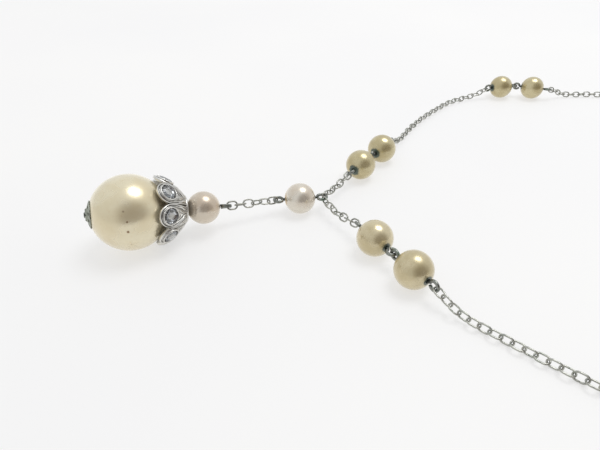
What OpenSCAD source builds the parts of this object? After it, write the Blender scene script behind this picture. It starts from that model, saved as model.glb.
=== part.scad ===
// Lavaliere necklace: a large imitation pearl in a stone-set petal cap hangs
// from a cable chain with pearls in pairs. It is modelled lying on a table.

/* [Drop] */
// Diameter of the large pearl
drop_pearl_d = 13; // [12.8:0.1:13.1]
// Diameter of the small pearl above the petal cap, and of the one at the junction
pink_pearl_d = 5.9; // [5.7:0.05:5.95]
// Distance from the large pearl's centre to that of the pearl above the cap
bead_reach = 12.5; // [12.5:0.05:12.6]
// Compass angle of the drop's axis, from +X towards +Y
drop_azimuth = 21.5; // [21:0.1:22]
// Rise of the drop's axis, negative where it runs down towards the chain
drop_slope = -9.4; // [-9.4:0.1:-9]

/* [Petal cap] */
// Turn of the first petal about the drop's axis
petal_turn = -20; // [-22:0.5:-19.5]
// Radius of a petal's round end
petal_round = 2.05; // [1.95:0.05:2.1]
// Half width of a petal where it leaves the collar
petal_neck = 0.9; // [0.8:0.05:0.95]
// Thickness of the cast petals
petal_wall = 0.35; // [0.3:0.01:0.38]
// Height of the raised rim around each petal
rim_h = 0.17; // [0.12:0.01:0.18]
// Diameter of the round stones
stone_d = 2.6; // [2.4:0.1:2.6]

/* [Strand pearls] */
// Diameter of the pearls in pairs on the strand
pearl_d = 6.3; // [6.2:0.05:6.3]
// Diameter of the hole drilled through each pearl
bore_d = 0.8; // [0.75:0.05:0.9]

/* [Pins] */
// Diameter of the pins' straight wire
pin_d = 0.54; // [0.5:0.01:0.55]
// Diameter of the wire in the pins' loops
loop_wire_d = 0.58; // [0.56:0.01:0.6]
// Radius of a pin's loop at the middle of its wire
loop_r = 0.8; // [0.78:0.01:0.82]
// Radius of the loop that holds both strands
junction_r = 0.9; // [0.88:0.01:0.92]
// Gap between a pearl and its loops
loop_gap = 0.1; // [0.08:0.01:0.12]

/* [Chain] */
// Length of a link over all
link_l = 2.35; // [2.33:0.01:2.37]
// Width of a link over all
link_w = 1.7; // [1.65:0.01:1.75]
// Width of the rounder links between drop and junction
drop_link_w = 1.8; // [1.75:0.01:1.85]
// Diameter of the links' wire
link_wire_d = 0.32; // [0.3:0.01:0.32]
// Greatest length of chain that one link may add
link_pitch = 1.6; // [1.59:0.005:1.605]
// How far the chain's twist wanders to each side
twist = 10; // [0:1:12]

/* [Hidden] */
strand_pairs = 2;
strand_pearls = 2 * strand_pairs;
petals = 8;
strands = ["back", "front"];
stretches = 3;

// The places below are measured on the table from the pearl at the junction.
// This shift then puts the middle of the whole necklace at the origin.
lay_shift = [-54.915, -3.205, 0];

// Heights: everything rests on the table through its pearls.
drop_lift = 0.26;
chain_z = 0.92;

// Play between a pin's loop and the link in it
link_play = 0.12;

wire_fn = 16;
smooth_fn = 48;

drop_r = drop_pearl_d / 2;
pink_r = pink_pearl_d / 2;
pearl_r = pearl_d / 2;
loop_wire_r = loop_wire_d / 2;

// Distance from a pearl's centre to the middle of its loop
function loop_reach(ball_r, ring_r = loop_r) = ball_r + loop_gap + loop_wire_r + ring_r;

// Distance from a loop's middle to the point where the chain's first link begins
function chain_start(ring_r = loop_r, play = link_play) = ring_r - loop_wire_r - play / 2;

// A direction from its compass angle and its rise
function heading(azimuth, rise = 0) = [cos(azimuth) * cos(rise), sin(azimuth) * cos(rise), sin(rise)];

// The drop
drop_at = [-28.8, -10.4, drop_r + drop_lift];
drop_dir = heading(drop_azimuth, drop_slope);
drop_loop = drop_at + (bead_reach + loop_reach(pink_r)) * drop_dir;

// The junction
connector_at = [0, 0, pink_r];
connector_azimuth = 6.6;
connector_roll = 0;
connector_dir = heading(connector_azimuth);
connector_loop = connector_at - loop_reach(pink_r) * connector_dir;
junction = connector_at + loop_reach(pink_r, junction_r) * connector_dir;

// Pairs of pearls, the nearer to the junction first.
// Columns: x and y of the first pearl, the compass angles of its pin and of the second's,
// then the roll of the pair's first loop and of its last.
back_pairs = [
    [13.06, 13.22, 55, 53, -45, 90],
    [60.3, 62.2, 14, -20, 90, -25],
];
front_pairs = [
    [12.7, -12.88, -59, -58, -45, 90],
    [67.0, -54.2, -14, -6, 90, 90],
];
pair_x = 0;
pair_y = 1;
pair_first = 2;
pair_second = 3;
pair_roll_in = 4;
pair_roll_out = 5;

// Spacing of two loops that hook through each other
hooked = 0.84;

function pairs_of(strand) = strand == "back" ? back_pairs : front_pairs;

// Centre and compass angle of each pearl on a strand, counted from the junction
function pair_of(strand, i) = pairs_of(strand)[floor((i - 1) / 2)];

function pearl_azimuth(strand, i) =
    let (pair = pair_of(strand, i))
    i % 2 == 1 ? pair[pair_first] : pair[pair_second];

function pearl_at(strand, i) =
    let (pair = pair_of(strand, i))
    let (first = [pair[pair_x], pair[pair_y], pearl_r])
    i % 2 == 1 ? first : first
        + loop_reach(pearl_r) * heading(pair[pair_first])
        + hooked * heading(pair[pair_second])
        + loop_reach(pearl_r) * heading(pair[pair_second]);

function loop_at(strand, i, side) = pearl_at(strand, i)
    + side * loop_reach(pearl_r) * heading(pearl_azimuth(strand, i));

// The far half of the loop is half an ellipse, with the clasp in its middle.
far_centre = [83.4, 2.9, chain_z];
far_x = 59;
far_y = 59.4;
function far_arc(turn) = far_centre + [far_x * cos(turn), far_y * sin(turn), 0];
far_steps = [for (turn = [84:-12:12]) turn];

// The clasp: a ring with a fixed eye at each side
clasp_at = far_arc(0);
clasp_ring_r = 2.4;
clasp_wire_d = 1.1;
clasp_eye_r = 0.95;
clasp_eye_wire_d = 0.6;
clasp_eye_reach = clasp_ring_r + clasp_wire_d / 2 + clasp_eye_r - 0.1;
clasp_start = clasp_eye_r - clasp_eye_wire_d / 2 - link_play / 2;

// Points that the chain passes on its way, chosen by hand.
// Columns: x, y and height above the table.
back_way_1 = [[7.3, 5.2, 2.4]];
back_way_2 = [
    [22.7, 26.7, 2.2],
    [24.6, 30.2, 1.1],
    [28.7, 37.4, 0.92],
    [33.1, 43.8, 0.92],
    [38.3, 50.0, 0.92],
    [43.6, 55.6, 0.92],
    [48.4, 58.6, 0.95],
    [52.4, 60.0, 1.6],
];
back_way_3 = [
    [75.4, 60.5, 2.75],
    [77.6, 61.3, 1.75],
    [80.6, 61.9, 0.92],
];
front_way_1 = [[7.0, -4.4, 2.4]];
front_way_2 = [
    [21.5, -26.9, 2.2],
    [23.9, -29.3, 1.15],
    [28.0, -32.8, 0.92],
    [33.2, -37.2, 0.92],
    [39.0, -41.8, 0.92],
    [45.6, -45.9, 0.92],
    [52.4, -49.3, 0.95],
    [59.0, -51.9, 1.6],
];
front_way_3 = [
    [82.9, -56.5, 2.2],
    [85.6, -56.7, 1.0],
];

function flip_arc(points) = [for (p = points) [p.x, 2 * far_centre.y - p.y, p.z]];

// A chain's first and last point, and what it passes between them
function route(strand, i) =
    let (back = strand == "back")
    let (way = back ? [back_way_1, back_way_2, back_way_3] : [front_way_1, front_way_2, front_way_3])
    let (arc = [for (turn = far_steps) far_arc(turn)])
    let (middle = concat(way[i - 1], i < stretches ? [] : back ? arc : flip_arc(arc)))
    let (from = i == 1 ? junction : loop_at(strand, 2 * i - 2, 1))
    let (to = i < stretches ? loop_at(strand, 2 * i - 1, -1)
        : clasp_at + [0, back ? clasp_eye_reach : -clasp_eye_reach, 0])
    let (out = i == 1 ? chain_start(junction_r) : chain_start())
    let (in = i < stretches ? chain_start() : clasp_start)
    concat(
        [step_towards(from, middle[0], out)],
        middle,
        [step_towards(to, middle[len(middle) - 1], in)]
    );

function step_towards(from, to, distance) = from + distance * (to - from) / norm(to - from);

// A smooth curve through points, as short straight steps
spline_steps = 8;
function spline_point(a, b, c, d, t) = 0.5 * (
    2 * b + (c - a) * t + (2 * a - 5 * b + 4 * c - d) * t * t + (3 * b - a - 3 * c + d) * t * t * t);
function spline(p) =
    let (last = len(p) - 1)
    let (before = 2 * p[0] - p[1])
    let (after = 2 * p[last] - p[last - 1])
    concat([for (i = [0:last - 1], k = [0:spline_steps - 1])
        spline_point(i == 0 ? before : p[i - 1], p[i], p[i + 1],
            i + 2 > last ? after : p[i + 2], k / spline_steps)], [p[last]]);

// Distance travelled at each point of a curve
function travelled(p) = [for (i = 0, s = 0; i < len(p);
    s = s + (i + 1 < len(p) ? norm(p[i + 1] - p[i]) : 0), i = i + 1) s];

// The points that share a curve into equal parts
function shared(p, parts) =
    let (s = travelled(p))
    let (total = s[len(s) - 1])
    let (x = [for (i = [0:len(p) - 1]) [s[i], p[i].x]])
    let (y = [for (i = [0:len(p) - 1]) [s[i], p[i].y]])
    let (z = [for (i = [0:len(p) - 1]) [s[i], p[i].z]])
    [for (k = [0:parts]) let (at = total * k / parts) [lookup(at, x), lookup(at, y), lookup(at, z)]];

function curve_length(p) = let (s = travelled(p)) s[len(s) - 1];

// Puts a piece that lies along X onto the line from one point to the next
module between(from, to, roll = 0) {
    run = to - from;
    translate((from + to) / 2)
        rotate([roll, -atan2(run.z, norm([run.x, run.y])), atan2(run.y, run.x)])
            children();
}

// Puts a piece onto the drop's axis: Z runs from the large pearl to the chain
module on_drop() {
    translate(drop_at)
        rotate([0, 90 - drop_slope, drop_azimuth])
            rotate([0, 0, -90])
                children();
}

module ring(ring_r, wire_d) {
    rotate_extrude($fn = smooth_fn)
        translate([ring_r, 0])
            circle(d = wire_d, $fn = wire_fn);
}

// One link: two half rings and two straight sides
module link(width) {
    bend_r = (width - link_wire_d) / 2;
    straight = link_l - width;
    for (side = [0, 180])
        rotate([0, 0, side])
            translate([straight / 2, 0, 0])
                rotate([0, 0, -90])
                    rotate_extrude(angle = 180, $fn = smooth_fn)
                        translate([bend_r, 0])
                            circle(d = link_wire_d, $fn = wire_fn);
    for (side = [-1, 1])
        translate([0, side * bend_r, 0])
            rotate([0, 90, 0])
                cylinder(h = straight, d = link_wire_d, center = true, $fn = wire_fn);
}

// Links laid along a curve, each turned about a quarter from the last, with a slow twist.
// The quarter turns are stretched a little so that the last link gets the roll it needs.
module chain(points, first_roll, last_roll, width = link_w) {
    curve = spline(points);
    count = ceil(curve_length(curve) / link_pitch);
    joints = shared(curve, count);
    spare = last_roll - first_roll - 90 * (count - 1);
    step = 90 + (spare - 180 * round(spare / 180)) / (count - 1);
    for (k = [0:count - 1]) {
        wander = twist * sin(47 * k) * sin(180 * k / (count - 1));
        between(joints[k], joints[k + 1], first_roll + step * k + wander)
            link(width);
    }
}

// A drilled pearl, with its hole along X
module pearl(d) {
    rotate([0, 90, 0])
        difference() {
            sphere(d = d, $fn = smooth_fn);
            cylinder(h = d + 1, d = bore_d, center = true, $fn = wire_fn);
        }
}

// A straight wire through a pearl with a loop at each end
module eye_pin(ball_r, left_roll, right_roll, right_r = loop_r) {
    left = loop_reach(ball_r);
    right = loop_reach(ball_r, right_r);
    translate([-(left - loop_r), 0, 0])
        rotate([0, 90, 0])
            cylinder(h = left - loop_r + right - right_r, d = pin_d, $fn = wire_fn);
    translate([-left, 0, 0])
        rotate([left_roll, 0, 0])
            ring(loop_r, loop_wire_d);
    translate([right, 0, 0])
        rotate([right_roll, 0, 0])
            ring(right_r, loop_wire_d);
}

// The large pearl
module drop_pearl() {
    color([0.90, 0.87, 0.74])
        on_drop()
            rotate([0, 90, 0])
                pearl(drop_pearl_d);
}

// A shallow pierced bead cap at the free end of the large pearl
cap_gap = 0.06;
cap_wall = 0.25;
cap_edge = 0.1;
cap_rim_r = 2.35;
cap_dome_r = 1.2;
cap_dome_rise = 0.1;
cap_pin_play = 0.06;
cap_holes = 10;
cap_hole_at = 1.82;
cap_hole_d = 0.6;
dome_holes = 6;
dome_hole_at = 0.92;
dome_hole_d = 0.3;
cap_out_r = drop_r + cap_gap + cap_wall;
cap_top = cap_out_r + cap_dome_rise;

// The cap's section from one radius to another; its outer face thins out towards the rim.
function cap_arc(lift, thin, from_r, to_r, steps) =
    [for (i = [0:steps])
        let (x = from_r + (to_r - from_r) * i / steps)
        [x, -sqrt(pow(drop_r + cap_gap, 2) - x * x) - lift + thin * x / cap_rim_r]];

module end_cap() {
    hole_r = pin_d / 2 + cap_pin_play;
    color([0.60, 0.63, 0.55])
        on_drop()
            difference() {
                rotate_extrude($fn = smooth_fn)
                    polygon(concat(
                        cap_arc(0, 0, hole_r, cap_rim_r, 6),
                        cap_arc(cap_wall, cap_wall - cap_edge, cap_rim_r, cap_dome_r, 4),
                        [[cap_dome_r - 0.25, -cap_top],
                         [hole_r, -cap_top]]
                    ));
                for (i = [0:cap_holes - 1])
                    rotate([0, 0, i * 360 / cap_holes])
                        translate([cap_hole_at, 0, -drop_r])
                            cylinder(h = 3, d = cap_hole_d, center = true, $fn = wire_fn);
                for (i = [0:dome_holes - 1])
                    rotate([0, 0, (i + 0.5) * 360 / dome_holes])
                        translate([dome_hole_at, 0, -drop_r])
                            cylinder(h = 4, d = dome_hole_d, center = true, $fn = wire_fn);
            }
}

// Section of a petal's outer face, from collar to tip.
// Columns: distance along the drop's axis from the pearl's centre, and radius.
petal_section = [
    [9.2, 2.2],
    [8.65, 3.0],
    [7.65, 4.1],
    [6.45, 5.0],
    [5.3, 5.6],
    [4.15, 6.05],
];
petal_curve = spline([for (p = petal_section) [p[1], 0, p[0]]]);
petal_travel = travelled(petal_curve);
petal_l = petal_travel[len(petal_travel) - 1];
petal_r_at = [for (i = [0:len(petal_curve) - 1]) [petal_travel[i], petal_curve[i].x]];
petal_z_at = [for (i = [0:len(petal_curve) - 1]) [petal_travel[i], petal_curve[i].z]];

// The stone sits at the middle of the petal's round end.
stone_s = petal_l - petal_round;

function ease(t) = t * t * (3 - 2 * t);
function petal_half(s) = petal_neck + (petal_round - petal_neck) * ease(s / stone_s);

// Outward direction of the petal's section at a distance from the collar
function section_normal(s) =
    let (h = 0.05)
    let (dr = lookup(s + h, petal_r_at) - lookup(s - h, petal_r_at))
    let (dz = lookup(s + h, petal_z_at) - lookup(s - h, petal_z_at))
    [-dz, dr] / norm([dr, dz]);

// A point on a petal: s from the collar, w across, and a height above the outer face
function petal_point(s, w, lift = 0) =
    let (r = lookup(s, petal_r_at))
    let (turn = w / r * 180 / PI)
    let (n = section_normal(s))
    let (out = r + lift * n[0])
    [out * cos(turn), out * sin(turn), lookup(s, petal_z_at) + lift * n[1]];

// The petal's face is a set of lines that run from one side of the collar around the tip to
// the other side, each a little further in than the last.
// Columns: distance in from the edge, and height above the plain outer face.
petal_relief = [
    [0, -0.02],
    [0.1, rim_h],
    [0.24, rim_h],
    [0.38, -0.08],
    [0.6, 0.03],
];
side_steps = 6;
end_steps = 10;
line_len = 2 * side_steps + end_steps + 1;
half_len = (line_len - 1) / 2;

// Where a line stands at step i: distance from the collar, and distance across
function line_s(i, inset) =
    let (k = min(i, line_len - 1 - i))
    k <= side_steps ? stone_s * k / side_steps
        : stone_s + (petal_round - inset) * sin(180 * (k - side_steps) / end_steps);
function line_w(i, inset) =
    let (k = min(i, line_len - 1 - i))
    (i < half_len ? -1 : 1) * (k <= side_steps ? petal_half(line_s(k, inset)) - inset
        : (petal_round - inset) * cos(180 * (k - side_steps) / end_steps));
function petal_line(inset, lift) =
    [for (i = [0:line_len - 1]) petal_point(line_s(i, inset), line_w(i, inset), lift)];
function middle_line(inset, lift) =
    [for (i = [0:half_len - 1]) petal_point(line_s(i, inset), 0, lift)];

// Triangles between two lines of points that start at a and b
function strip(a, b) = [for (i = [0:line_len - 2], upper = [0, 1])
    upper == 0 ? [a + i, b + i, a + i + 1] : [a + i + 1, b + i, b + i + 1]];
// Triangles between a line that starts at a and the middle line that starts at m
function fill(a, m) = concat(
    [for (i = [0:half_len - 2], upper = [0, 1])
        upper == 0 ? [a + i, m + i, a + i + 1] : [a + i + 1, m + i, m + i + 1]],
    [[a + half_len - 1, m + half_len - 1, a + half_len]],
    [for (i = [0:half_len - 2], upper = [0, 1]) let (last = a + line_len - 1)
        upper == 0 ? [last - i, last - i - 1, m + i] : [last - i - 1, m + i + 1, m + i]],
    [[a + half_len + 1, a + half_len, m + half_len - 1]]
);
function turned(faces) = [for (f = faces) [f[2], f[1], f[0]]];

module petal() {
    rows = len(petal_relief);
    top_middle = (rows + 1) * line_len;
    low_middle = top_middle + half_len;
    points = concat(
        [for (row = petal_relief, p = petal_line(row[0], row[1])) p],
        petal_line(0, -petal_wall),
        middle_line(petal_relief[rows - 1][0], petal_relief[rows - 1][1]),
        middle_line(0, -petal_wall)
    );
    low = rows * line_len;
    inner = (rows - 1) * line_len;
    end_face = concat(
        [for (r = [0:rows - 1]) r * line_len],
        [top_middle],
        [for (r = [rows - 1:-1:0]) r * line_len + line_len - 1]
    );
    faces = concat(
        [for (r = [0:rows - 2], f = strip(r * line_len, (r + 1) * line_len)) f],
        fill(inner, top_middle),
        strip(low, 0),
        turned(fill(low, low_middle)),
        [for (i = [0:len(end_face) - 2]) [end_face[i + 1], end_face[i], low_middle]],
        [[end_face[0], low, low_middle]],
        [[low + line_len - 1, end_face[len(end_face) - 1], low_middle]]
    );
    polyhedron(points, faces, convexity = 8);
}

// The bezel around a stone, and the two leaves that curl from it to the collar
bezel_h = 0.22;
bezel_wall = 0.2;
stone_play = 0.06;
seat_deep = 0.14;
leaf_r = 0.2;
module on_stone() {
    n = section_normal(stone_s);
    translate(petal_point(stone_s, 0))
        rotate([0, atan2(n[0], n[1]), 0])
            children();
}

module bezel() {
    on_stone()
        translate([0, 0, -0.2])
            cylinder(h = bezel_h + 0.2, d = stone_d + 2 * stone_play + 2 * bezel_wall, $fn = 16);
}

module seat() {
    on_stone()
        translate([0, 0, -seat_deep])
            cylinder(h = 1, d = stone_d + 2 * stone_play, $fn = 16);
}

// Columns: distance from the collar as a share of the way to the stone, and half spread
leaf_way = [
    [0.12, 0.18],
    [0.32, 0.62],
    [0.58, 1.15],
];
module leaves() {
    for (side = [-1, 1], i = [0:len(leaf_way) - 2])
        hull()
            for (k = [i, i + 1])
                translate(petal_point(stone_s * leaf_way[k][0], side * leaf_way[k][1], 0.05))
                    sphere(r = leaf_r, $fn = 6);
    hull()
        for (share = [0.3, 0.52])
            translate(petal_point(stone_s * share, 0, 0.03))
                sphere(r = leaf_r * 0.9, $fn = 6);
}

// The whole casting: petals, rims, bezels and leaves on a collar with a hub
collar_wire_d = 0.5;
hub_h = 0.4;
module petal_cap() {
    color([0.75, 0.75, 0.71])
        on_drop()
            difference() {
                union() {
                    for (i = [0:petals - 1])
                        rotate([0, 0, petal_turn + i * 360 / petals]) {
                            petal();
                            bezel();
                            leaves();
                        }
                    translate([0, 0, petal_section[0][0]])
                        rotate_extrude($fn = 32)
                            translate([petal_section[0][1], 0])
                                circle(d = collar_wire_d, $fn = 8);
                    translate([0, 0, petal_section[0][0] - hub_h / 2])
                        cylinder(h = hub_h, r = petal_section[0][1], $fn = 32);
                }
                cylinder(h = bead_reach, d = bore_d, $fn = 16);
                for (i = [0:petals - 1])
                    rotate([0, 0, petal_turn + i * 360 / petals])
                        seat();
            }
}

// A round cut stone: a table, two rows of crown facets and a pavilion
stone_table_r = 0.58;
stone_crown_h = 0.24;
stone_base_h = 0.26;
stone_waist_z = 0.2;
module petal_stone(i) {
    r = stone_d / 2;
    crown = stone_crown_h;
    table = [for (k = [0:7]) [r * stone_table_r * cos(45 * k), r * stone_table_r * sin(45 * k), crown]];
    waist = [for (k = [0:15]) [r * cos(22.5 * k), r * sin(22.5 * k), 0]];
    base = [for (k = [0:7]) [r * 0.3 * cos(45 * k), r * 0.3 * sin(45 * k), -stone_base_h]];
    faces = concat(
        [[7, 6, 5, 4, 3, 2, 1, 0]],
        [for (k = [0:7]) [k, 8 + 2 * k + 1, 8 + 2 * k]],
        [for (k = [0:7]) [k, (k + 1) % 8, 8 + 2 * k + 1]],
        [for (k = [0:7]) [(k + 1) % 8, 8 + (2 * k + 2) % 16, 8 + 2 * k + 1]],
        [for (k = [0:7]) [24 + k, 8 + 2 * k, 8 + 2 * k + 1]],
        [for (k = [0:7]) [24 + k, 8 + 2 * k + 1, 24 + (k + 1) % 8]],
        [for (k = [0:7]) [24 + (k + 1) % 8, 8 + 2 * k + 1, 8 + (2 * k + 2) % 16]],
        [[for (k = [0:7]) 24 + k]]
    );
    color([0.93, 0.94, 0.95])
        on_drop()
            rotate([0, 0, petal_turn + (i - 1) * 360 / petals])
                on_stone()
                    translate([0, 0, stone_waist_z])
                        polyhedron(concat(table, waist, base), faces);
}

// The small pearl above the petal cap
module drop_bead() {
    color([0.88, 0.80, 0.72])
        on_drop()
            translate([0, 0, bead_reach])
                rotate([0, 90, 0])
                    pearl(pink_pearl_d);
}

// The head pin through the whole drop, with a loop of two turns
drop_loop_turn = 32;
double_wire_d = 0.5;
loop_turn_pitch = 0.4;
head_r = 0.5;
head_h = 0.18;
head_gap = 0.06;
module drop_pin() {
    neck_at = bead_reach + loop_reach(pink_r) - loop_r;
    color([0.36, 0.37, 0.33])
        on_drop() {
            translate([0, 0, -cap_top - head_gap])
                cylinder(h = neck_at + cap_top + head_gap, d = pin_d, $fn = wire_fn);
            translate([0, 0, -cap_top - head_gap])
                rotate_extrude($fn = smooth_fn)
                    polygon([
                        [0, 0.02],
                        [head_r, 0],
                        [head_r * 0.95, -head_h * 0.5],
                        [head_r * 0.6, -head_h * 0.9],
                        [0, -head_h],
                    ]);
            translate([0, 0, neck_at + loop_r])
                rotate([0, 0, -drop_loop_turn])
                    rotate([90, 0, 0])
                        rotate_extrude($fn = smooth_fn)
                            for (side = [-0.5, 0.5])
                                translate([loop_r, side * loop_turn_pitch])
                                    circle(d = double_wire_d, $fn = wire_fn);
        }
}

// The links between the drop and the junction's pearl
module drop_chain() {
    color([0.60, 0.61, 0.58])
        chain([
            step_towards(drop_loop, connector_loop, chain_start(loop_r, 3 * link_play)),
            (drop_loop + connector_loop) / 2,
            step_towards(connector_loop, drop_loop, chain_start()),
        ], 90 - drop_loop_turn, 90 + connector_roll, drop_link_w);
}

module at_connector() {
    translate(connector_at)
        rotate([0, 0, connector_azimuth])
            children();
}

module connector_pearl() {
    color([0.90, 0.86, 0.80])
        at_connector()
            pearl(pink_pearl_d);
}

// The eye pin whose right loop holds both strands
module connector_pin() {
    color([0.36, 0.37, 0.33])
        at_connector()
            eye_pin(pink_r, connector_roll, 0, junction_r);
}

module at_pearl(strand, i) {
    translate(pearl_at(strand, i))
        rotate([0, 0, pearl_azimuth(strand, i)])
            children();
}

module strand_pearl(strand, i) {
    color([0.80, 0.76, 0.60])
        at_pearl(strand, i)
            pearl(pearl_d);
}

// In a pair, a flat loop and an upright one hook through each other.
module strand_pin(strand, i) {
    pair = pair_of(strand, i);
    first = i % 2 == 1;
    color([0.36, 0.37, 0.33])
        at_pearl(strand, i)
            eye_pin(pearl_r, first ? pair[pair_roll_in] : 90, first ? 0 : pair[pair_roll_out]);
}

// The chain's end links stand square to the loops they hang in.
module strand_chain(strand, i) {
    pairs = pairs_of(strand);
    from_roll = i == 1 ? 0 : pairs[i - 2][pair_roll_out];
    to_roll = i < stretches ? pairs[i - 1][pair_roll_in] : 0;
    color([0.66, 0.66, 0.63])
        chain(route(strand, i), 90 + from_roll, 90 + to_roll);
}

// A ring clasp with a fixed eye at each side, lying flat
module clasp() {
    color([0.66, 0.66, 0.63])
        translate(clasp_at) {
            ring(clasp_ring_r, clasp_wire_d);
            for (side = [-1, 1])
                translate([0, side * clasp_eye_reach, 0])
                    ring(clasp_eye_r, clasp_eye_wire_d);
        }
}

translate(lay_shift) {
    drop_pearl();
    end_cap();
    petal_cap();
    for (i = [1:petals])
        petal_stone(i);
    drop_bead();
    drop_pin();
    drop_chain();
    connector_pearl();
    connector_pin();
    for (s = strands) {
        for (i = [1:strand_pearls]) {
            strand_pearl(s, i);
            strand_pin(s, i);
        }
        for (i = [1:stretches])
            strand_chain(s, i);
    }
    clasp();
}
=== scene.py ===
"""The looks of a lavaliere necklace that lies on a pale table."""

import math

import bmesh
import bpy
import numpy as np
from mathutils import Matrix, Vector


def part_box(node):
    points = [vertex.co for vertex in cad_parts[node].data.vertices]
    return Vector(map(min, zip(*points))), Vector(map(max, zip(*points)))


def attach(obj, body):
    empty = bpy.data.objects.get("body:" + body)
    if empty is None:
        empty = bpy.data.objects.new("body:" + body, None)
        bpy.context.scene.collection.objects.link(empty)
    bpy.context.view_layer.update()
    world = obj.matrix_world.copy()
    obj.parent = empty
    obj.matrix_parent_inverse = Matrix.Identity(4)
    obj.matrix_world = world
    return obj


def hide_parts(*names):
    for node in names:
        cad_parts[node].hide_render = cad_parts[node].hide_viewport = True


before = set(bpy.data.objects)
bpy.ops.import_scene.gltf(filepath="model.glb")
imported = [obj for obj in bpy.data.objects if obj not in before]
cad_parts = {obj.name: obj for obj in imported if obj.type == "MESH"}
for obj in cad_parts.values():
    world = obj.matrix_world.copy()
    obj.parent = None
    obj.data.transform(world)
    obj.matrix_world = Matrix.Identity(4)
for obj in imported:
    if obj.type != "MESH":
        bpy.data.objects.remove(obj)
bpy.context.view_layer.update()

MM = 0.001
BODY = "root"
STRANDS = ("back", "front")
PEARLS_PER_STRAND = 4
CHAINS_PER_STRAND = 3
PETALS = 8

# Sizes in millimetres, as the solids have them
LOOP_R = 0.8
JUNCTION_R = 0.9
LOOP_WIRE_R = 0.29
PIN_R = 0.27
BORE_R = 0.4
STONE_D = 2.6


# Reading the frame

def node_points(node):
    """The vertices of a CAD node, in metres."""
    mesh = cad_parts[node].data
    points = np.empty(len(mesh.vertices) * 3)
    mesh.vertices.foreach_get("co", points)
    return points.reshape(-1, 3)


def node_centre(node):
    low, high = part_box(node)
    return (np.array(low) + np.array(high)) / 2


def principal_axes(points):
    """The middle of a cloud of points and its axes, the longest first."""
    centre = points.mean(axis=0)
    _, axes = np.linalg.eigh(np.cov((points - centre).T))
    return centre, axes.T[::-1]


def loose_parts(node):
    """The separate solids of a CAD node, each as an array of points."""
    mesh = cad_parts[node].data
    points = node_points(node)
    edges = np.empty(len(mesh.edges) * 2, dtype=np.int64)
    mesh.edges.foreach_get("vertices", edges)
    _, first, same = np.unique(np.round(points * 1e7), axis=0, return_index=True, return_inverse=True)
    a, b = same.reshape(-1)[edges].reshape(-1, 2).T
    label = np.arange(len(first))
    while True:
        before = label.copy()
        lower = np.minimum(label[a], label[b])
        np.minimum.at(label, a, lower)
        np.minimum.at(label, b, lower)
        label = label[label]
        if (label == before).all():
            break
    return [points[first[label == part]] for part in np.unique(label)]


def unit(v):
    v = np.asarray(v, dtype=float)
    return v / np.linalg.norm(v)


def upright_frame(axis):
    """Columns X along the axis, Y level, Z as far up as it can be."""
    x = unit(axis)
    y = unit(np.cross((0, 0, 1), x))
    return np.array([x, y, np.cross(x, y)]).T


# Making meshes

class Shape:
    """Points and faces gathered for one piece, with two numbers kept for each point."""

    def __init__(self):
        self.points = []
        self.faces = []
        self.dirt_and_shade = []
        self.tone = []
        self.count = 0

    def add(self, points, faces, dirt_and_shade=0.0, tone=0.5):
        points = np.asarray(points, dtype=float)
        self.points.append(points)
        self.faces += [tuple(int(i) + self.count for i in face) for face in faces]
        self.dirt_and_shade.append(np.broadcast_to(dirt_and_shade, len(points)))
        self.tone.append(np.broadcast_to(tone, len(points)))
        self.count += len(points)

    def object(self, name, smooth=True, merge=0.0, sharp_deg=None):
        mesh = bpy.data.meshes.new(name)
        mesh.from_pydata(np.concatenate(self.points).tolist(), [], self.faces)
        # The first kept number is how dark the metal is painted: real dirt, and painted shade in grooves,
        # hollows and joins.
        for key, values in (("dirt_and_shade", self.dirt_and_shade), ("tone", self.tone)):
            layer = mesh.attributes.new(key, "FLOAT", "POINT")
            layer.data.foreach_set("value", np.concatenate(values).astype(np.float32))
        bm = bmesh.new()
        bm.from_mesh(mesh)
        if merge:
            bmesh.ops.remove_doubles(bm, verts=bm.verts, dist=merge)
        bmesh.ops.recalc_face_normals(bm, faces=bm.faces)
        bm.to_mesh(mesh)
        bm.free()
        mesh.shade_smooth() if smooth else mesh.shade_flat()
        if sharp_deg:
            mesh.set_sharp_from_angle(angle=math.radians(sharp_deg))
        piece = bpy.data.objects.new(name, mesh)
        bpy.context.collection.objects.link(piece)
        return piece


def grid_faces(rows, columns, closed_rows=False, closed_columns=False):
    """Quads of a grid of points, stored row by row."""
    faces = []
    for i in range(rows if closed_rows else rows - 1):
        for k in range(columns if closed_columns else columns - 1):
            i2 = (i + 1) % rows
            k2 = (k + 1) % columns
            faces.append((i * columns + k, i * columns + k2, i2 * columns + k2, i2 * columns + k))
    return faces


def revolved(profile, steps):
    """A closed profile of (x, r) turned about X."""
    turn = np.arange(steps) * 2 * math.pi / steps
    profile = np.asarray(profile, dtype=float)
    points = [(x, r * math.cos(t), r * math.sin(t)) for x, r in profile for t in turn]
    return np.array(points), grid_faces(len(profile), steps, True, True)


# A direction that no wire here starts along
OFF_AXIS = (0.3, 0.5, 0.8)


def tube(path, radius, sides=10):
    """A wire along a path, with closed ends."""
    path = np.asarray(path, dtype=float)
    radius = np.broadcast_to(radius, len(path))
    tangent = np.gradient(path, axis=0)
    tangent /= np.linalg.norm(tangent, axis=1)[:, None]
    normal = unit(np.cross(tangent[0], OFF_AXIS))
    rings = []
    for p, t, r in zip(path, tangent, radius):
        normal = unit(normal - t * np.dot(normal, t))
        side = np.cross(t, normal)
        for k in range(sides):
            turn = 2 * math.pi * k / sides
            rings.append(p + r * (math.cos(turn) * normal + math.sin(turn) * side))
    faces = grid_faces(len(path), sides, False, True)
    faces.append(tuple(range(sides))[::-1])
    faces.append(tuple(range((len(path) - 1) * sides, len(path) * sides)))
    return np.array(rings), faces


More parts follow.
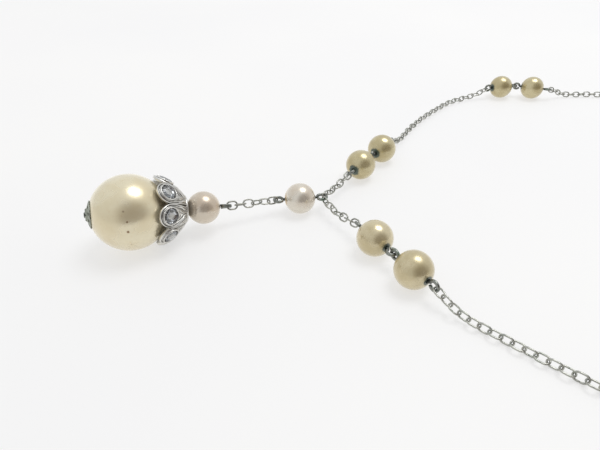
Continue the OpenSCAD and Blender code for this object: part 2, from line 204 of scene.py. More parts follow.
def smooth_path(points, steps=6):
    """A smooth curve through points."""
    p = np.asarray(points, dtype=float)
    p = np.vstack([2 * p[0] - p[1], p, 2 * p[-1] - p[-2]])
    out = []
    for i in range(1, len(p) - 2):
        a, b, c, d = p[i - 1:i + 3]
        for k in range(steps):
            t = k / steps
            out.append(0.5 * (2 * b + (c - a) * t + (2 * a - 5 * b + 4 * c - d) * t * t
                              + (3 * b - a - 3 * c + d) * t ** 3))
    out.append(p[-2])
    return np.array(out)


def finished(piece, material, slot, *nodes):
    """Puts a piece on the body in place of its CAD nodes."""
    piece.data.materials.clear()
    piece.data.materials.append(material)
    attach(piece, BODY)
    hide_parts(*nodes)
    return piece


# Materials

class Nodes:
    """A short way to write a material's nodes."""

    def __init__(self, name):
        self.material = bpy.data.materials.new(name)
        self.material.use_nodes = True
        self.tree = self.material.node_tree
        self.shader = self.tree.nodes["Principled BSDF"]

    def add(self, kind, inputs=None, **settings):
        node = self.tree.nodes.new(kind)
        for key, value in settings.items():
            setattr(node, key, value)
        for key, value in (inputs or {}).items():
            self.feed(node.inputs[key], value)
        return node

    def feed(self, socket, value):
        if isinstance(value, bpy.types.NodeSocket):
            self.tree.links.new(value, socket)
        elif isinstance(value, bpy.types.Node):
            self.tree.links.new(value.outputs[0], socket)
        else:
            socket.default_value = value

    def set(self, **values):
        for key, value in values.items():
            name = key.replace("_", " ")
            socket = next(s for s in self.shader.inputs if s.name.lower() == name.lower())
            self.feed(socket, value)

    def local(self):
        return self.add("ShaderNodeTexCoord").outputs["Object"]

    def noise(self, vector, scale, detail=3.0, rough=0.5, distort=0.0):
        inputs = {"Vector": vector, "Scale": scale, "Detail": detail, "Roughness": rough}
        inputs["Distortion"] = distort
        return self.add("ShaderNodeTexNoise", inputs).outputs["Fac"]

    def attribute(self, name):
        return self.add("ShaderNodeAttribute", attribute_name=name).outputs["Fac"]

    def ramp(self, value, low, high, out_low=0.0, out_high=1.0):
        inputs = {"Value": value, "From Min": low, "From Max": high, "To Min": out_low, "To Max": out_high}
        return self.add("ShaderNodeMapRange", inputs, interpolation_type="SMOOTHSTEP").outputs["Result"]

    def math(self, operation, a, b=0.0):
        node = self.add("ShaderNodeMath", operation=operation)
        self.feed(node.inputs[0], a)
        self.feed(node.inputs[1], b)
        return node.outputs[0]

    def mix(self, share, a, b):
        node = self.add("ShaderNodeMix", data_type="RGBA")
        self.feed(node.inputs["Factor"], share)
        for socket, value in ((node.inputs[6], a), (node.inputs[7], b)):
            self.feed(socket, value if not isinstance(value, tuple) else (*value, 1.0))
        return node.outputs[2]

    def near(self, vector, place, inner, outer):
        """One inside a distance from a place, zero outside another."""
        away = self.add("ShaderNodeVectorMath", operation="DISTANCE")
        self.feed(away.inputs[0], vector)
        away.inputs[1].default_value = place
        return self.ramp(away.outputs["Value"], inner, outer, 1.0, 0.0)

    def bump(self, height, distance, strength=1.0):
        node = self.add("ShaderNodeBump", {"Height": height, "Distance": distance, "Strength": strength})
        self.set(normal=node.outputs["Normal"])


BROWN = (0.23, 0.12, 0.045)
AMBER = (0.62, 0.42, 0.16)
VERDIGRIS = (0.045, 0.085, 0.075)
COPPER_GREEN = (0.13, 0.22, 0.16)


def pearl_material(name, radius, light, deep, stains=(), specks=(), wear=None, roughness=0.25):
    """An imitation pearl's coating. Stains and specks are given by their direction from the centre."""
    m = Nodes(name)
    at = m.local()
    on_ball = m.add("ShaderNodeAttribute", attribute_name="place").outputs["Vector"]
    r = radius
    cloud = m.ramp(m.noise(at, 0.9 / r, 3.0, 0.6), 0.36, 0.66)
    colour = m.mix(cloud, light, deep)
    grain = m.ramp(m.noise(at, 14.0 / r, 2.0, 0.7), 0.55, 0.8, 0.0, 0.22)
    colour = m.mix(grain, colour, AMBER)
    rough = m.ramp(cloud, 0.0, 1.0, roughness, roughness + 0.06)
    if wear:
        place, reach, tint, amount = wear
        spotted = m.ramp(m.noise(at, 22.0 / r, 4.0, 0.75), 0.5, 0.62)
        patch = m.near(on_ball, tuple(r * c for c in unit(place)), 0.15 * reach * r, reach * r)
        share = m.math("MULTIPLY", m.math("MULTIPLY", spotted, patch), amount)
        colour = m.mix(share, colour, tint)
    for place, inner, outer, tint, amount in stains:
        wobble = m.noise(at, 5.0 / r, 3.0, 0.6)
        middle = tuple(r * c for c in unit(place))
        patch = m.near(on_ball, middle, inner * r, outer * r)
        edge = m.ramp(m.math("ADD", patch, m.math("SUBTRACT", wobble, 0.5)), 0.25, 0.85, 0.0, amount)
        colour = m.mix(m.math("MULTIPLY", edge, m.ramp(patch, 0.0, 0.15)), colour, tint)
        rough = m.ramp(edge, 0.0, 1.0, rough, 0.55)
    for place, size, tint in specks:
        middle = tuple(r * c for c in unit(place))
        ragged = m.ramp(m.noise(at, 9.0 / r, 2.0, 0.6), 0.3, 0.5)
        dot = m.math("MULTIPLY", m.near(on_ball, middle, 0.4 * size * MM, size * MM), ragged)
        colour = m.mix(dot, colour, tint)
    m.set(base_color=colour, roughness=rough, metallic=0.45, ior=1.5)
    m.set(coat_weight=0.9, coat_roughness=0.16, coat_ior=1.5, coat_tint=(1.0, 0.98, 0.94, 1.0))
    return m.material


def metal_material(name, bright, dark, roughness, grime_and_shade_from, green=0.0):
    """Old metal, bright where it is rubbed and dark where dirt stays, and darkened by painted shade in its
    hollows, grooves and joins.
    """
    m = Nodes(name)
    at = m.local()
    # Painted shade: ambient occlusion darkens the colour in hollows and where parts meet.
    hollow = m.add("ShaderNodeAmbientOcclusion", {"Distance": 0.35 * MM}, samples=6).outputs["AO"]
    shade = m.ramp(hollow, 0.25, 0.95)
    blotch = m.noise(at, 900.0, 4.0, 0.65)
    # The per-point attribute adds dirt and painted shade in grooves, hollows and joins; the noise adds
    # blotches of dirt.
    grime_and_shade = m.math("ADD", m.attribute("dirt_and_shade"), m.math("MULTIPLY", m.math("SUBTRACT", blotch, 0.5), 0.7))
    clean_and_lit = m.math("MULTIPLY", m.ramp(grime_and_shade, grime_and_shade_from, grime_and_shade_from + 0.5, 1.0, 0.0), shade)
    colour = m.mix(clean_and_lit, dark, bright)
    tone = m.ramp(m.attribute("tone"), 0.0, 1.0, 0.0, 0.35)
    colour = m.mix(tone, colour, tuple(0.55 * c for c in bright))
    if green:
        patch = m.ramp(m.noise(at, 420.0, 3.0, 0.6, 0.5), 0.56, 0.66, 0.0, green)
        colour = m.mix(patch, colour, COPPER_GREEN)
    m.set(base_color=colour, metallic=0.92, roughness=m.ramp(clean_and_lit, 0.0, 1.0, roughness + 0.25, roughness))
    m.bump(m.noise(at, 2600.0, 3.0, 0.6), 0.012 * MM, 0.6)
    return m.material


def glass_material():
    m = Nodes("stone_glass")
    film = m.ramp(m.noise(m.local(), 1500.0, 3.0, 0.6), 0.4, 0.75, 0.01, 0.07)
    m.set(base_color=(0.97, 0.98, 0.99, 1.0), roughness=film, ior=1.58, transmission_weight=1.0)
    return m.material


def foil_material():
    m = Nodes("stone_foil")
    spot = m.ramp(m.noise(m.local(), 1800.0, 3.0, 0.6), 0.5, 0.7)
    m.set(base_color=m.mix(spot, (0.6, 0.61, 0.62), (0.22, 0.21, 0.19)), metallic=1.0)
    m.set(roughness=m.ramp(spot, 0.0, 1.0, 0.06, 0.3))
    return m.material


# The pearls

PEARL_ROWS = 60
PEARL_STEPS = 96
BORE_EDGE = 0.06


def pearl_piece(node, axis, material, slot):
    """A drilled pearl. Its points keep their place in the pearl's own frame, X along the hole."""
    low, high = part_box(node)
    radius = (high[2] - low[2]) / 2
    bore = BORE_R * MM
    edge = BORE_EDGE * MM
    start = math.asin((bore + edge) / radius)
    wall = radius * math.cos(start)
    profile = [(-wall + edge * 2.5, bore), (-wall + edge * 0.6, bore + edge * 0.25)]
    for k in range(PEARL_ROWS + 1):
        turn = start + (math.pi - 2 * start) * k / PEARL_ROWS
        profile.append((-radius * math.cos(turn), radius * math.sin(turn)))
    profile += [(wall - edge * 0.6, bore + edge * 0.25), (wall - edge * 2.5, bore), (0.0, bore)]
    local, faces = revolved(profile, PEARL_STEPS)
    shape = Shape()
    shape.add(node_centre(node) + local @ upright_frame(axis).T, faces)
    piece = shape.object(node + "_look", sharp_deg=50)
    layer = piece.data.attributes.new("place", "FLOAT_VECTOR", "POINT")
    layer.data.foreach_set("vector", local.astype(np.float32).reshape(-1))
    return finished(piece, material, slot, node)


# The chains

LINK_SIDES = 10
BEND_STEPS = 9
STRAIGHT_STEPS = 4
LINK_FIT = 0.98
LINK_SCATTER = 0.02
LINK_WEAR = 0.08
SEAM_THIN = 0.82
SEAM_DIRT = 0.5


def link_shape(length, width, wire_r, wear, seam_side):
    """One link in its own frame, worn thin where its neighbours pull, with a soldered seam."""
    bend_r = width / 2 - wire_r
    half = (length - width) / 2
    path = []
    for side in (1, -1):
        for k in range(BEND_STEPS):
            turn = math.pi * (0.5 - k / BEND_STEPS)
            path.append((side * (half + bend_r * math.cos(turn)), side * bend_r * math.sin(turn),
                         side * math.cos(turn), side * math.sin(turn), math.cos(turn)))
        for k in range(STRAIGHT_STEPS):
            along = half - 2 * half * k / STRAIGHT_STEPS
            path.append((side * along, -side * bend_r, 0.0, -side, 0.0))
    points = []
    dirt_and_shade = []
    seam = BEND_STEPS + STRAIGHT_STEPS // 2 if seam_side > 0 else len(path) - STRAIGHT_STEPS // 2
    for i, (x, y, nx, ny, bend) in enumerate(path):
        r = wire_r * (1 - wear * bend ** 2) * (SEAM_THIN if i == seam else 1.0)
        for k in range(LINK_SIDES):
            turn = 2 * math.pi * k / LINK_SIDES
            out = math.cos(turn)
            points.append((x + r * out * nx, y + r * out * ny, r * math.sin(turn)))
            # Darker on the inner side of the wire, most at the ends where the neighbouring links sit: dirt
            # and painted shade. The seam is a dark joint.
            dirt_and_shade.append(max(0.0, -out) * (0.25 + 0.5 * bend) + (SEAM_DIRT if i == seam else 0.0))
    return np.array(points), np.array(dirt_and_shade), grid_faces(len(path), LINK_SIDES, True, True)


def chain_piece(node, material, seed):
    random = np.random.default_rng(seed)
    shape = Shape()
    for points in loose_parts(node):
        centre, axes = principal_axes(points)
        local = (points - centre) @ axes.T
        length, width, wire = local.max(axis=0) - local.min(axis=0)
        shrink = 1 - LINK_SCATTER * random.random(2)
        link, dirt_and_shade, faces = link_shape(length * shrink[0], width * shrink[1], wire / 2 * LINK_FIT,
                                       LINK_WEAR, random.choice((-1, 1)))
        shape.add(centre + link @ axes, faces, dirt_and_shade, random.random())
    return finished(shape.object(node + "_look"), material, "chain_metal", node)


# The pins

# A pin's loop begins and ends a little off the pin's own line, in degrees.
EYE_FROM = 166
EYE_TO = -156
EYE_STEPS = 30
EYE_NECK = 0.34
WIRE_SIDES = 12
STRAIGHT_SHARE = 0.08
CUT_END = 0.6

def loop_frame(points, axis, ball, side, loop_r, wire_r):
    """The middle of a pin's loop, and its plane's directions outward and across."""
    along = (points - ball) @ axis * side
    reach = along.max() - (loop_r + wire_r) * MM
    outer = points[along > reach + 0.2 * loop_r * MM]
    _, axes = principal_axes(outer - np.outer(outer @ axis, axis))
    outward = axis * side
    across = unit(axes[0] - axis * np.dot(axes[0], axis))
    return ball + outward * reach, outward, across


def eye_path(centre, outward, across, loop_r, ball_reach):
    """From the pearl's middle along the pin, then round the loop to the wire's cut end."""
    r = loop_r * MM
    points = [centre - outward * ball_reach, centre - outward * (r + EYE_NECK * MM)]
    for turn in np.linspace(EYE_FROM, EYE_TO, EYE_STEPS):
        t = math.radians(turn)
        points.append(centre + outward * r * math.cos(t) + across * r * math.sin(t))
    return np.array(points)


def pin_piece(node, ball, axis, material, right_r=LOOP_R):
    points = node_points(node)
    shape = Shape()
    for side, loop_r in ((-1, LOOP_R), (1, right_r)):
        centre, outward, across = loop_frame(points, axis, ball, side, loop_r, LOOP_WIRE_R)
        path = eye_path(centre, outward, across, loop_r, np.linalg.norm(centre - ball))
        straight, loop = path[:2], path[1:]
        route = np.vstack([np.linspace(straight[0], straight[1], 5)[:-1], smooth_path(loop, 2)])
        turned = np.linspace(0, 1, len(route))
        radius = np.where(turned < STRAIGHT_SHARE, PIN_R, LOOP_WIRE_R) * MM
        radius[-1] *= CUT_END
        rings, faces = tube(route, radius, WIRE_SIDES)
        # The wire is darker near the pearl.
        near_ball = np.repeat(1 - np.clip(turned * 3, 0, 1), WIRE_SIDES)
        shape.add(rings, faces, 0.25 + 0.5 * near_ball)
    return finished(shape.object(node + "_look", merge=1e-6, sharp_deg=50), material, "dark_wire", node)


# The drop

drop_at = node_centre("drop_pearl")
bead_at = node_centre("drop_bead")
drop_axis = unit(bead_at - drop_at)
drop_frame = np.array([unit(np.cross((0, 0, 1), drop_axis)), (0, 0, 0), drop_axis])
drop_frame[1] = np.cross(drop_axis, drop_frame[0])
drop_r = (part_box("drop_pearl")[1][2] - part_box("drop_pearl")[0][2]) / 2


def on_drop(points):
    """Points in millimetres, Z along the drop's axis, brought to their place."""
    return drop_at + np.asarray(points, dtype=float) * MM @ drop_frame


def stone_turn():
    """The turn about the drop's axis at which the first stone stands."""
    away = node_centre("petal_stone_1") - drop_at
    return math.atan2(np.dot(away, drop_frame[1]), np.dot(away, drop_frame[0]))


# Section of a petal's outer face, from the collar to the tip.
# Columns: distance along the axis from the large pearl's centre, and radius.
PETAL_SECTION = [(9.2, 2.2), (8.65, 3.0), (7.65, 4.1), (6.45, 5.0), (5.3, 5.6), (4.15, 6.05)]
PETAL_ROUND = 2.05
PETAL_NECK = 0.9
PETAL_WALL = 0.33
RIM_H = 0.17

section_curve = smooth_path([(r, z) for z, r in PETAL_SECTION], 8)
section_travel = np.concatenate([[0], np.cumsum(np.linalg.norm(np.diff(section_curve, axis=0), axis=1))])
STONE_S = section_travel[-1] - PETAL_ROUND


def petal_point(s, w, lift=0.0):
    """A point on a petal: s from the collar, w across, and a height above its face."""
    r, z = (np.interp(s, section_travel, section_curve[:, i]) for i in (0, 1))
    h = 0.1
    dr, dz = (np.interp(s + h, section_travel, section_curve[:, i])
              - np.interp(s - h, section_travel, section_curve[:, i]) for i in (0, 1))
    size = math.hypot(dr, dz)
    out = r - lift * dz / size
    turn = w / r
    return (out * math.cos(turn), out * math.sin(turn), z + lift * dr / size)


def turned_about_axis(points, turn):
    c, s = math.cos(turn), math.sin(turn)
    return np.asarray(points) @ np.array([(c, s, 0), (-s, c, 0), (0, 0, 1)])


# The petal's relief. Columns: distance in from the edge, height above the plain face, and darkening: dirt
# and painted shade in the grooves.
PETAL_RELIEF = [
    (0.0, -0.06, 0.3),
    (0.03, 0.06, 0.1),
    (0.08, 0.14, 0.0),
    (0.14, RIM_H, 0.0),
    (0.2, 0.13, 0.1),
    (0.25, 0.0, 0.9),
    (0.3, -0.05, 1.0),
    (0.35, 0.02, 0.7),
    (0.4, 0.1, 0.0),
    (0.46, 0.11, 0.0),
    (0.52, 0.03, 0.5),
    (0.58, -0.05, 0.9),
    (0.66, -0.04, 0.7),
]
SIDE_STEPS = 12
END_STEPS = 22


def petal_line(inset, lift, share=1.0):
    """One line round the petal, a distance in from its edge and drawn in to a share of its width."""
    line = []
    for k in range(SIDE_STEPS):
        s = STONE_S * k / SIDE_STEPS
        ease = (s / STONE_S) ** 2 * (3 - 2 * s / STONE_S)
        line.append((s, PETAL_NECK + (PETAL_ROUND - PETAL_NECK) * ease - inset))
    for k in range(END_STEPS // 2 + 1):
        turn = math.pi * k / END_STEPS
        reach = PETAL_ROUND - inset
        line.append((STONE_S + reach * math.sin(turn), reach * math.cos(turn)))
    whole = [(s, -w) for s, w in line] + [(s, w) for s, w in reversed(line[:-1])]
    return [petal_point(s, w * share, lift) for s, w in whole]


def petal(shape, turn):
    inner, low = PETAL_RELIEF[-1][:2]
    rows = [(petal_line(inset, lift), dirt_and_shade) for inset, lift, dirt_and_shade in PETAL_RELIEF]
    # The sunk middle of the petal, its underside and its wall are darkened: dirt and painted shade.
    rows += [(petal_line(inner, low * (1 - f) + 0.03 * f, 1 - f), 0.6) for f in (0.25, 0.5, 0.75, 1.0)]
    rows = [(petal_line(0, -PETAL_WALL, 1 - f), 0.6) for f in (1.0, 0.66, 0.33, 0.1)] + \
           [(petal_line(0.02, -PETAL_WALL), 0.5)] + rows
    columns = len(rows[0][0])
    points = np.array([p for line, _ in rows for p in line])
    dirt_and_shade = np.repeat([d for _, d in rows], columns)
    shape.add(on_drop(turned_about_axis(points, turn)), grid_faces(len(rows), columns), dirt_and_shade)


# A bezel's section. Columns: radius, height above the petal's face, and darkening: painted shadow at its
# foot, inside round the stone and outside against the petal, with dirt.
BEZEL = [
    (1.36, -0.12, 1.0),
    (1.36, 0.1, 0.9),
    (1.36, 0.19, 0.2),
    (1.41, 0.225, 0.0),
    (1.49, 0.225, 0.0),
    (1.54, 0.19, 0.1),
    (1.56, 0.08, 0.5),
    (1.57, -0.2, 0.9),
]
BEZEL_STEPS = 48
CLAWS = 6
# A claw's line. Columns: radius, height above the petal's face.
CLAW = [(1.53, 0.06), (1.48, 0.15), (1.38, 0.21), (1.22, 0.2)]
CLAW_R = (0.12, 0.06)


def stone_frame():
    """The middle of the petal's round end and its directions along, across and out, untwisted."""
    centre = np.array(petal_point(STONE_S, 0))
    out = unit(np.array(petal_point(STONE_S, 0, 1)) - centre)
    across = np.array((0.0, 1.0, 0.0))
    return centre, np.cross(across, out), across, out


def bezel(shape, turn):
    centre, along, across, out = stone_frame()
    points = []
    for r, h, _ in BEZEL:
        for k in range(BEZEL_STEPS):
            t = 2 * math.pi * k / BEZEL_STEPS
            points.append(centre + r * (math.cos(t) * along + math.sin(t) * across) + h * out)
    dirt_and_shade = np.repeat([d for _, _, d in BEZEL], BEZEL_STEPS)
    faces = grid_faces(len(BEZEL), BEZEL_STEPS, False, True)
    shape.add(on_drop(turned_about_axis(points, turn)), faces, dirt_and_shade)
    for k in range(CLAWS):
        t = 2 * math.pi * (k + 0.5) / CLAWS
        spoke = math.cos(t) * along + math.sin(t) * across
        path = smooth_path([centre + r * spoke + h * out for r, h in CLAW], 3)
        rings, faces = tube(path, np.linspace(*CLAW_R, len(path)), 8)
        shape.add(on_drop(turned_about_axis(rings, turn)), faces, 0.05)


# The scrolls between stone and collar, for one side.
# Columns: distance from the collar, distance across, radius of the strand.
SCROLLS = [
    [(2.6, 1.28, 0.06), (2.1, 1.1, 0.13), (1.6, 0.82, 0.16), (1.15, 0.5, 0.15), (0.75, 0.42, 0.12),
     (0.5, 0.6, 0.09)],
    [(2.55, 0.62, 0.06), (2.25, 0.42, 0.11), (1.95, 0.22, 0.12), (1.5, 0.1, 0.1), (1.1, 0.12, 0.06)],
    [(0.9, 0.1, 0.05), (0.6, 0.14, 0.1), (0.3, 0.2, 0.12), (0.05, 0.25, 0.1)],
]


def scrolls(shape, turn):
    for side in (-1, 1):
        for scroll in SCROLLS:
            path = smooth_path([(s, side * w, r) for s, w, r in scroll], 4)
            line = [petal_point(s, w, 0.02) for s, w, _ in path]
            rings, faces = tube(line, path[:, 2], 10)
            shape.add(on_drop(turned_about_axis(rings, turn)), faces, 0.0)


COLLAR_WIRE_R = 0.25
COLLAR_STEPS = 64


def collar(shape):
    """The ring and hub from which the petals grow."""
    z, r = PETAL_SECTION[0]
    wire = COLLAR_WIRE_R
    bend = np.linspace(-0.6 * math.pi, 0.9 * math.pi, 12)
    ring = [(r + wire * math.cos(t), z + wire * math.sin(t)) for t in bend]
    section = [(0.4, z - 0.2), (r - 0.05, z - 0.32)] + ring + [(r - 0.3, z), (1.2, z - 0.04), (0.4, z)]
    points = [(rr * math.cos(t), rr * math.sin(t), zz) for rr, zz in section
              for t in np.arange(COLLAR_STEPS) * 2 * math.pi / COLLAR_STEPS]
    # Darker under the collar and most in its hub: dirt and painted shade.
    dirt_and_shade = np.repeat([0.6, 0.6] + [0.1] * len(ring) + [0.9, 0.8, 0.8], COLLAR_STEPS)
    shape.add(on_drop(points), grid_faces(len(section), COLLAR_STEPS, True, True), dirt_and_shade)


def petal_cap_piece(material):
    shape = Shape()
    first = stone_turn()
    for i in range(PETALS):
        turn = first + 2 * math.pi * i / PETALS
        petal(shape, turn)
        bezel(shape, turn)
        scrolls(shape, turn)
    collar(shape)
    piece = shape.object("petal_cap_look", merge=1e-7, sharp_deg=60)
    return finished(piece, material, "cap_metal", "petal_cap")


# A brilliant-cut stone: its table and star points as shares of its radius, then its heights
STONE_TABLE = 0.56
STONE_STAR = 0.76
STONE_CROWN_H = 0.24
STONE_WAIST_Z = 0.2
STONE_BASE_H = 0.26
STONE_BASE = 0.35
STONE_FIT = 0.985
WAIST_TOP = 0.02
WAIST_LOW = -0.03


def stone_piece(i, glass, foil):
    node = f"petal_stone_{i}"
    centre, along, across, out = stone_frame()
    r = STONE_D / 2 * STONE_FIT
    rows = [
        (STONE_TABLE, STONE_CROWN_H, 0.0),
        (STONE_STAR, STONE_CROWN_H * 0.62, 0.5),
        (1.0, WAIST_TOP, 0.0),
        (1.0, WAIST_LOW, 0.0),
        (STONE_BASE, -STONE_BASE_H, 0.5),
    ]
    points = []
    for share, height, offset in rows:
        for k in range(8):
            t = 2 * math.pi * (k + offset) / 8
            points.append(centre + r * share * (math.cos(t) * along + math.sin(t) * across)
                          + (STONE_WAIST_Z + height) * out)
    waist_between = []
    for height in (WAIST_TOP, WAIST_LOW):
        for k in range(8):
            t = 2 * math.pi * (k + 0.5) / 8
            waist_between.append(centre + r * (math.cos(t) * along + math.sin(t) * across)
                                 + (STONE_WAIST_Z + height) * out)
    points += waist_between
    table, star, waist, under, base, waist_mid, under_mid = (range(8 * n, 8 * n + 8) for n in range(7))
    crown = [tuple(table)]
    pavilion = [tuple(reversed(base))]
    for k in range(8):
        n = (k + 1) % 8
        crown.append((table[k], star[k], table[n]))
        crown.append((table[k], star[k - 1], waist[k], star[k]))
        crown.append((star[k], waist[k], waist_mid[k]))
        crown.append((star[k], waist_mid[k], waist[n]))
        crown.append((waist[k], under[k], under_mid[k], waist_mid[k]))
        crown.append((waist_mid[k], under_mid[k], under[n], waist[n]))
        pavilion.append((under[k], base[k - 1], base[k]))
        pavilion.append((under[k], base[k], under_mid[k]))
        pavilion.append((under_mid[k], base[k], under[n]))
    shape = Shape()
    turn = stone_turn() + 2 * math.pi * (i - 1) / PETALS
    shape.add(on_drop(turned_about_axis(points, turn)), crown + pavilion)
    piece = shape.object(node + "_look", smooth=False)
    finished(piece, glass, "stone", node)
    piece.data.materials.append(foil)
    for face in piece.data.polygons:
        face.material_index = 1 if face.index >= len(crown) else 0
    return piece


# The drop's double loop: its wire, half the way that it winds sideways, and its turns in degrees
DOUBLE_WIRE_R = 0.23
DOUBLE_HALF = 0.2
DOUBLE_FROM = 170
DOUBLE_SWEEP = 700
DOUBLE_STEPS = 64
SHAFT_STEPS = 20
# The pin's head. Columns: radius, distance from its end.
PIN_HEAD = [(0.0, 0.0), (0.3, 0.02), (0.44, 0.07), (0.5, 0.13), (0.48, 0.18), (0.2, 0.2), (0.0, 0.2)]
HEAD_STEPS = 24


def drop_pin_piece(material):
    """The head pin, with a head in the end cap and a loop of two turns."""
    points = node_points("drop_pin")
    shape = Shape()
    centre, outward, across = loop_frame(points, drop_axis, drop_at, 1, LOOP_R, 0.25)
    plane = np.cross(outward, across)
    r = LOOP_R * MM
    path = [centre - outward * (r + 0.3 * MM) - plane * DOUBLE_HALF * MM]
    turns = np.linspace(DOUBLE_FROM, DOUBLE_FROM - DOUBLE_SWEEP, DOUBLE_STEPS)
    for k, turn in enumerate(turns):
        t = math.radians(turn)
        sideways = (2 * k / (DOUBLE_STEPS - 1) - 1) * DOUBLE_HALF * MM
        path.append(centre + outward * r * math.cos(t) + across * r * math.sin(t) + plane * sideways)
    start = drop_at - drop_axis * ((drop_at - points) @ drop_axis).max()
    shaft = np.linspace(start + drop_axis * 0.1 * MM, path[0], SHAFT_STEPS)
    route = np.vstack([shaft[:-1], path])
    on_shaft = np.arange(len(route)) < SHAFT_STEPS - 1
    rings, faces = tube(route, np.where(on_shaft, PIN_R, DOUBLE_WIRE_R) * MM, WIRE_SIDES)
    shape.add(rings, faces, 0.45)
    head = []
    for r_head, x in PIN_HEAD:
        for t in np.arange(HEAD_STEPS) * 2 * math.pi / HEAD_STEPS:
            spoke = math.cos(t) * drop_frame[0] + math.sin(t) * drop_frame[1]
            head.append(start + drop_axis * x * MM + MM * r_head * spoke)
    shape.add(np.array(head), grid_faces(len(PIN_HEAD), HEAD_STEPS, False, True), 0.3)
    piece = shape.object("drop_pin_look", merge=1e-6, sharp_deg=50)
    return finished(piece, material, "dark_wire", "drop_pin")


# The scene

CAMERA_AT = Vector((-0.054915, -0.079105, 0.051))
CAMERA_TILT = 54.4
CAMERA_LENS = 28.0
SENSOR_WIDTH = 36


def build_camera():
    data = bpy.data.cameras.new("camera")
    data.sensor_width = SENSOR_WIDTH
    data.lens = CAMERA_LENS
    data.clip_start = 0.004
    data.clip_end = 10
    camera = bpy.data.objects.new("camera", data)
    camera.location = CAMERA_AT
    camera.rotation_euler = (math.radians(CAMERA_TILT), 0, 0)
    bpy.context.collection.objects.link(camera)
    bpy.context.scene.camera = camera


# The bright surface fills the shadows, as in the photo
FLOOR_GLOW = 0.62
FLOOR_HALF = 2.0


def build_floor():
    shape = Shape()
    corners = [(x * FLOOR_HALF, y * FLOOR_HALF, 0) for x, y in ((-1, -1), (1, -1), (1, 1), (-1, 1))]
    shape.add(corners, [(0, 1, 2, 3)])
    floor = shape.object("floor", smooth=False)
    m = Nodes("floor_white")
    tint = m.ramp(m.noise(m.local(), 9.0, 2.0), 0.3, 0.7)
    m.set(base_color=m.mix(tint, (0.29, 0.29, 0.295), (0.31, 0.308, 0.305)), roughness=0.65)
    m.set(emission_color=(1.0, 0.995, 0.985, 1.0), emission_strength=FLOOR_GLOW)
    floor.data.materials.append(m.material)


def area_light(name, place, target, size, power):
    data = bpy.data.lights.new(name, "AREA")
    data.shape = "DISK"
    data.size = size
    data.energy = power
    light = bpy.data.objects.new(name, data)
    light.location = place
    light.rotation_euler = (Vector(target) - Vector(place)).to_track_quat("-Z", "Y").to_euler()
    light.visible_camera = False
    bpy.context.collection.objects.link(light)


# The dim side of the room, towards the viewer, that the pearls mirror in their middles.
# It is full within one angle of its middle and gone beyond another, in degrees.
DIM_TOWARDS = (0.5, -0.8, 0.31)
DIM_COLOUR = (0.1, 0.06, 0.04)
DIM_FULL = 22
DIM_GONE = 58
ROOM_COLOUR = (0.92, 0.94, 0.97)
ROOM_STRENGTH = 0.8


def build_world():
    world = bpy.data.worlds.new("room")
    bpy.context.scene.world = world
    world.use_nodes = True
    tree = world.node_tree
    back = tree.nodes["Background"]
    where = tree.nodes.new("ShaderNodeTexCoord")
    dot = tree.nodes.new("ShaderNodeVectorMath")
    dot.operation = "DOT_PRODUCT"
    dot.inputs[1].default_value = Vector(DIM_TOWARDS).normalized()
    tree.links.new(where.outputs["Generated"], dot.inputs[0])
    share = tree.nodes.new("ShaderNodeMapRange")
    share.interpolation_type = "SMOOTHSTEP"
    share.inputs["From Min"].default_value = math.cos(math.radians(DIM_GONE))
    share.inputs["From Max"].default_value = math.cos(math.radians(DIM_FULL))
    tree.links.new(dot.outputs["Value"], share.inputs["Value"])
    mix = tree.nodes.new("ShaderNodeMix")
    mix.data_type = "RGBA"
    mix.inputs[6].default_value = (*ROOM_COLOUR, 1)
    mix.inputs[7].default_value = (*DIM_COLOUR, 1)
    tree.links.new(share.outputs["Result"], mix.inputs["Factor"])
    tree.links.new(mix.outputs[2], back.inputs["Color"])
    back.inputs["Strength"].default_value = ROOM_STRENGTH


# The lamp above the table, a little to the right and behind
LAMP_AT = (0.13, 0.12, 0.57)
LAMP_TARGET = (-0.03, 0, 0)
LAMP_SIZE = 0.34
LAMP_POWER = 1.4


def build_lights():
    area_light("overhead", LAMP_AT, LAMP_TARGET, LAMP_SIZE, LAMP_POWER)


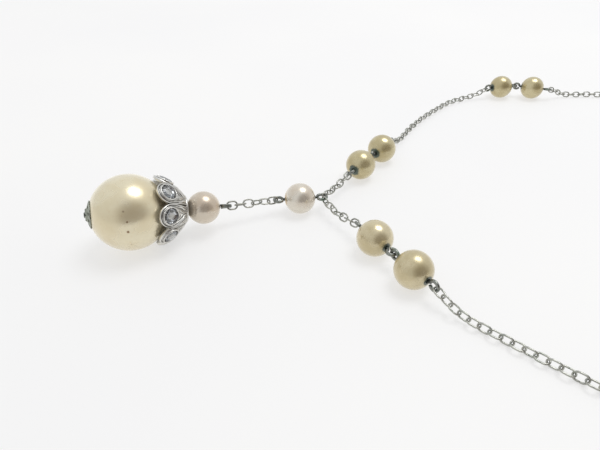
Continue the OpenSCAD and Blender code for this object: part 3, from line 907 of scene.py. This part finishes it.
def dress_necklace():
    pearl_coats = {
        "drop_pearl": pearl_material(
            "large_pearl", drop_r, (0.88, 0.82, 0.62), (0.8, 0.71, 0.49),
            stains=[((0.93, -0.3, 0.1), 0.12, 0.5, AMBER, 0.5), ((-1, 0, 0), 0.1, 0.42, AMBER, 0.35)],
            specks=[((-0.2, -0.8, 0.53), 0.22, BROWN), ((-0.13, -0.92, 0.3), 0.2, BROWN),
                    ((-0.12, -0.97, 0.05), 0.3, BROWN), ((-0.05, -0.9, -0.35), 0.16, BROWN)]),
        "drop_bead": pearl_material(
            "pink_pearl", 2.95 * MM, (0.74, 0.67, 0.57), (0.64, 0.54, 0.43),
            stains=[((-1, 0, 0), 0.15, 0.6, BROWN, 0.5)]),
        "connector_pearl": pearl_material(
            "white_pearl", 2.95 * MM, (0.8, 0.76, 0.68), (0.73, 0.65, 0.55),
            stains=[((-1, 0, 0), 0.25, 0.7, AMBER, 0.75)]),
    }
    olive = pearl_material("olive_pearl", 3.15 * MM, (0.64, 0.57, 0.35), (0.53, 0.45, 0.24),
                           stains=[((-1, 0, 0), 0.2, 0.55, VERDIGRIS, 0.95),
                                   ((1, 0, 0), 0.15, 0.4, VERDIGRIS, 0.8)])
    worn = pearl_material("worn_pearl", 3.15 * MM, (0.7, 0.62, 0.41), (0.58, 0.5, 0.3),
                          stains=[((1, 0, 0), 0.15, 0.4, VERDIGRIS, 0.9)],
                          wear=((0.1, -0.8, 0.55), 0.9, (0.42, 0.3, 0.16), 0.55))
    dark = metal_material("dark_wire", (0.3, 0.31, 0.28), (0.035, 0.04, 0.035), 0.34, 0.3, green=0.5)
    silver = metal_material("chain_silver", (0.5, 0.5, 0.45), (0.07, 0.07, 0.058), 0.33, 0.28, green=0.15)
    cap = metal_material("cap_silver", (0.84, 0.83, 0.79), (0.15, 0.14, 0.115), 0.3, 0.4)
    patina = metal_material("cap_patina", (0.34, 0.36, 0.3), (0.045, 0.055, 0.04), 0.45, 0.25, green=0.6)
    glass, foil = glass_material(), foil_material()

    pearl_piece("drop_pearl", drop_axis, pearl_coats["drop_pearl"], "large_pearl")
    pearl_piece("drop_bead", drop_axis, pearl_coats["drop_bead"], "pink_pearl")
    drop_pin_piece(dark)
    petal_cap_piece(cap)
    for i in range(1, PETALS + 1):
        stone_piece(i, glass, foil)
    chain_piece("drop_chain", silver, 1)

    ball = node_centre("connector_pearl")
    _, axes = principal_axes(node_points("connector_pin"))
    axis = axes[0] * (1 if axes[0][0] > 0 else -1)
    pearl_piece("connector_pearl", axis, pearl_coats["connector_pearl"], "white_pearl")
    pin_piece("connector_pin", ball, axis, dark, JUNCTION_R)

    for strand in STRANDS:
        for i in range(1, PEARLS_PER_STRAND + 1):
            pin = f"{strand}_pin_{i}"
            node = f"{strand}_pearl_{i}"
            _, axes = principal_axes(node_points(pin))
            axis = axes[0] * (1 if axes[0][0] > 0 else -1)
            coat, slot = (olive, "olive_pearl") if strand == "back" else (worn, "worn_pearl")
            pearl_piece(node, axis, coat, slot)
            pin_piece(pin, node_centre(node), axis, dark)
        for i in range(1, CHAINS_PER_STRAND + 1):
            chain_piece(f"{strand}_chain_{i}", silver, 10 * i + STRANDS.index(strand))

    for node, material in (("end_cap", patina), ("clasp", silver)):
        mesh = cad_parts[node].data
        mesh.materials.clear()
        mesh.materials.append(material)


build_camera()
dress_necklace()
build_floor()
build_lights()
build_world()
bpy.context.scene.view_settings.view_transform = "Standard"
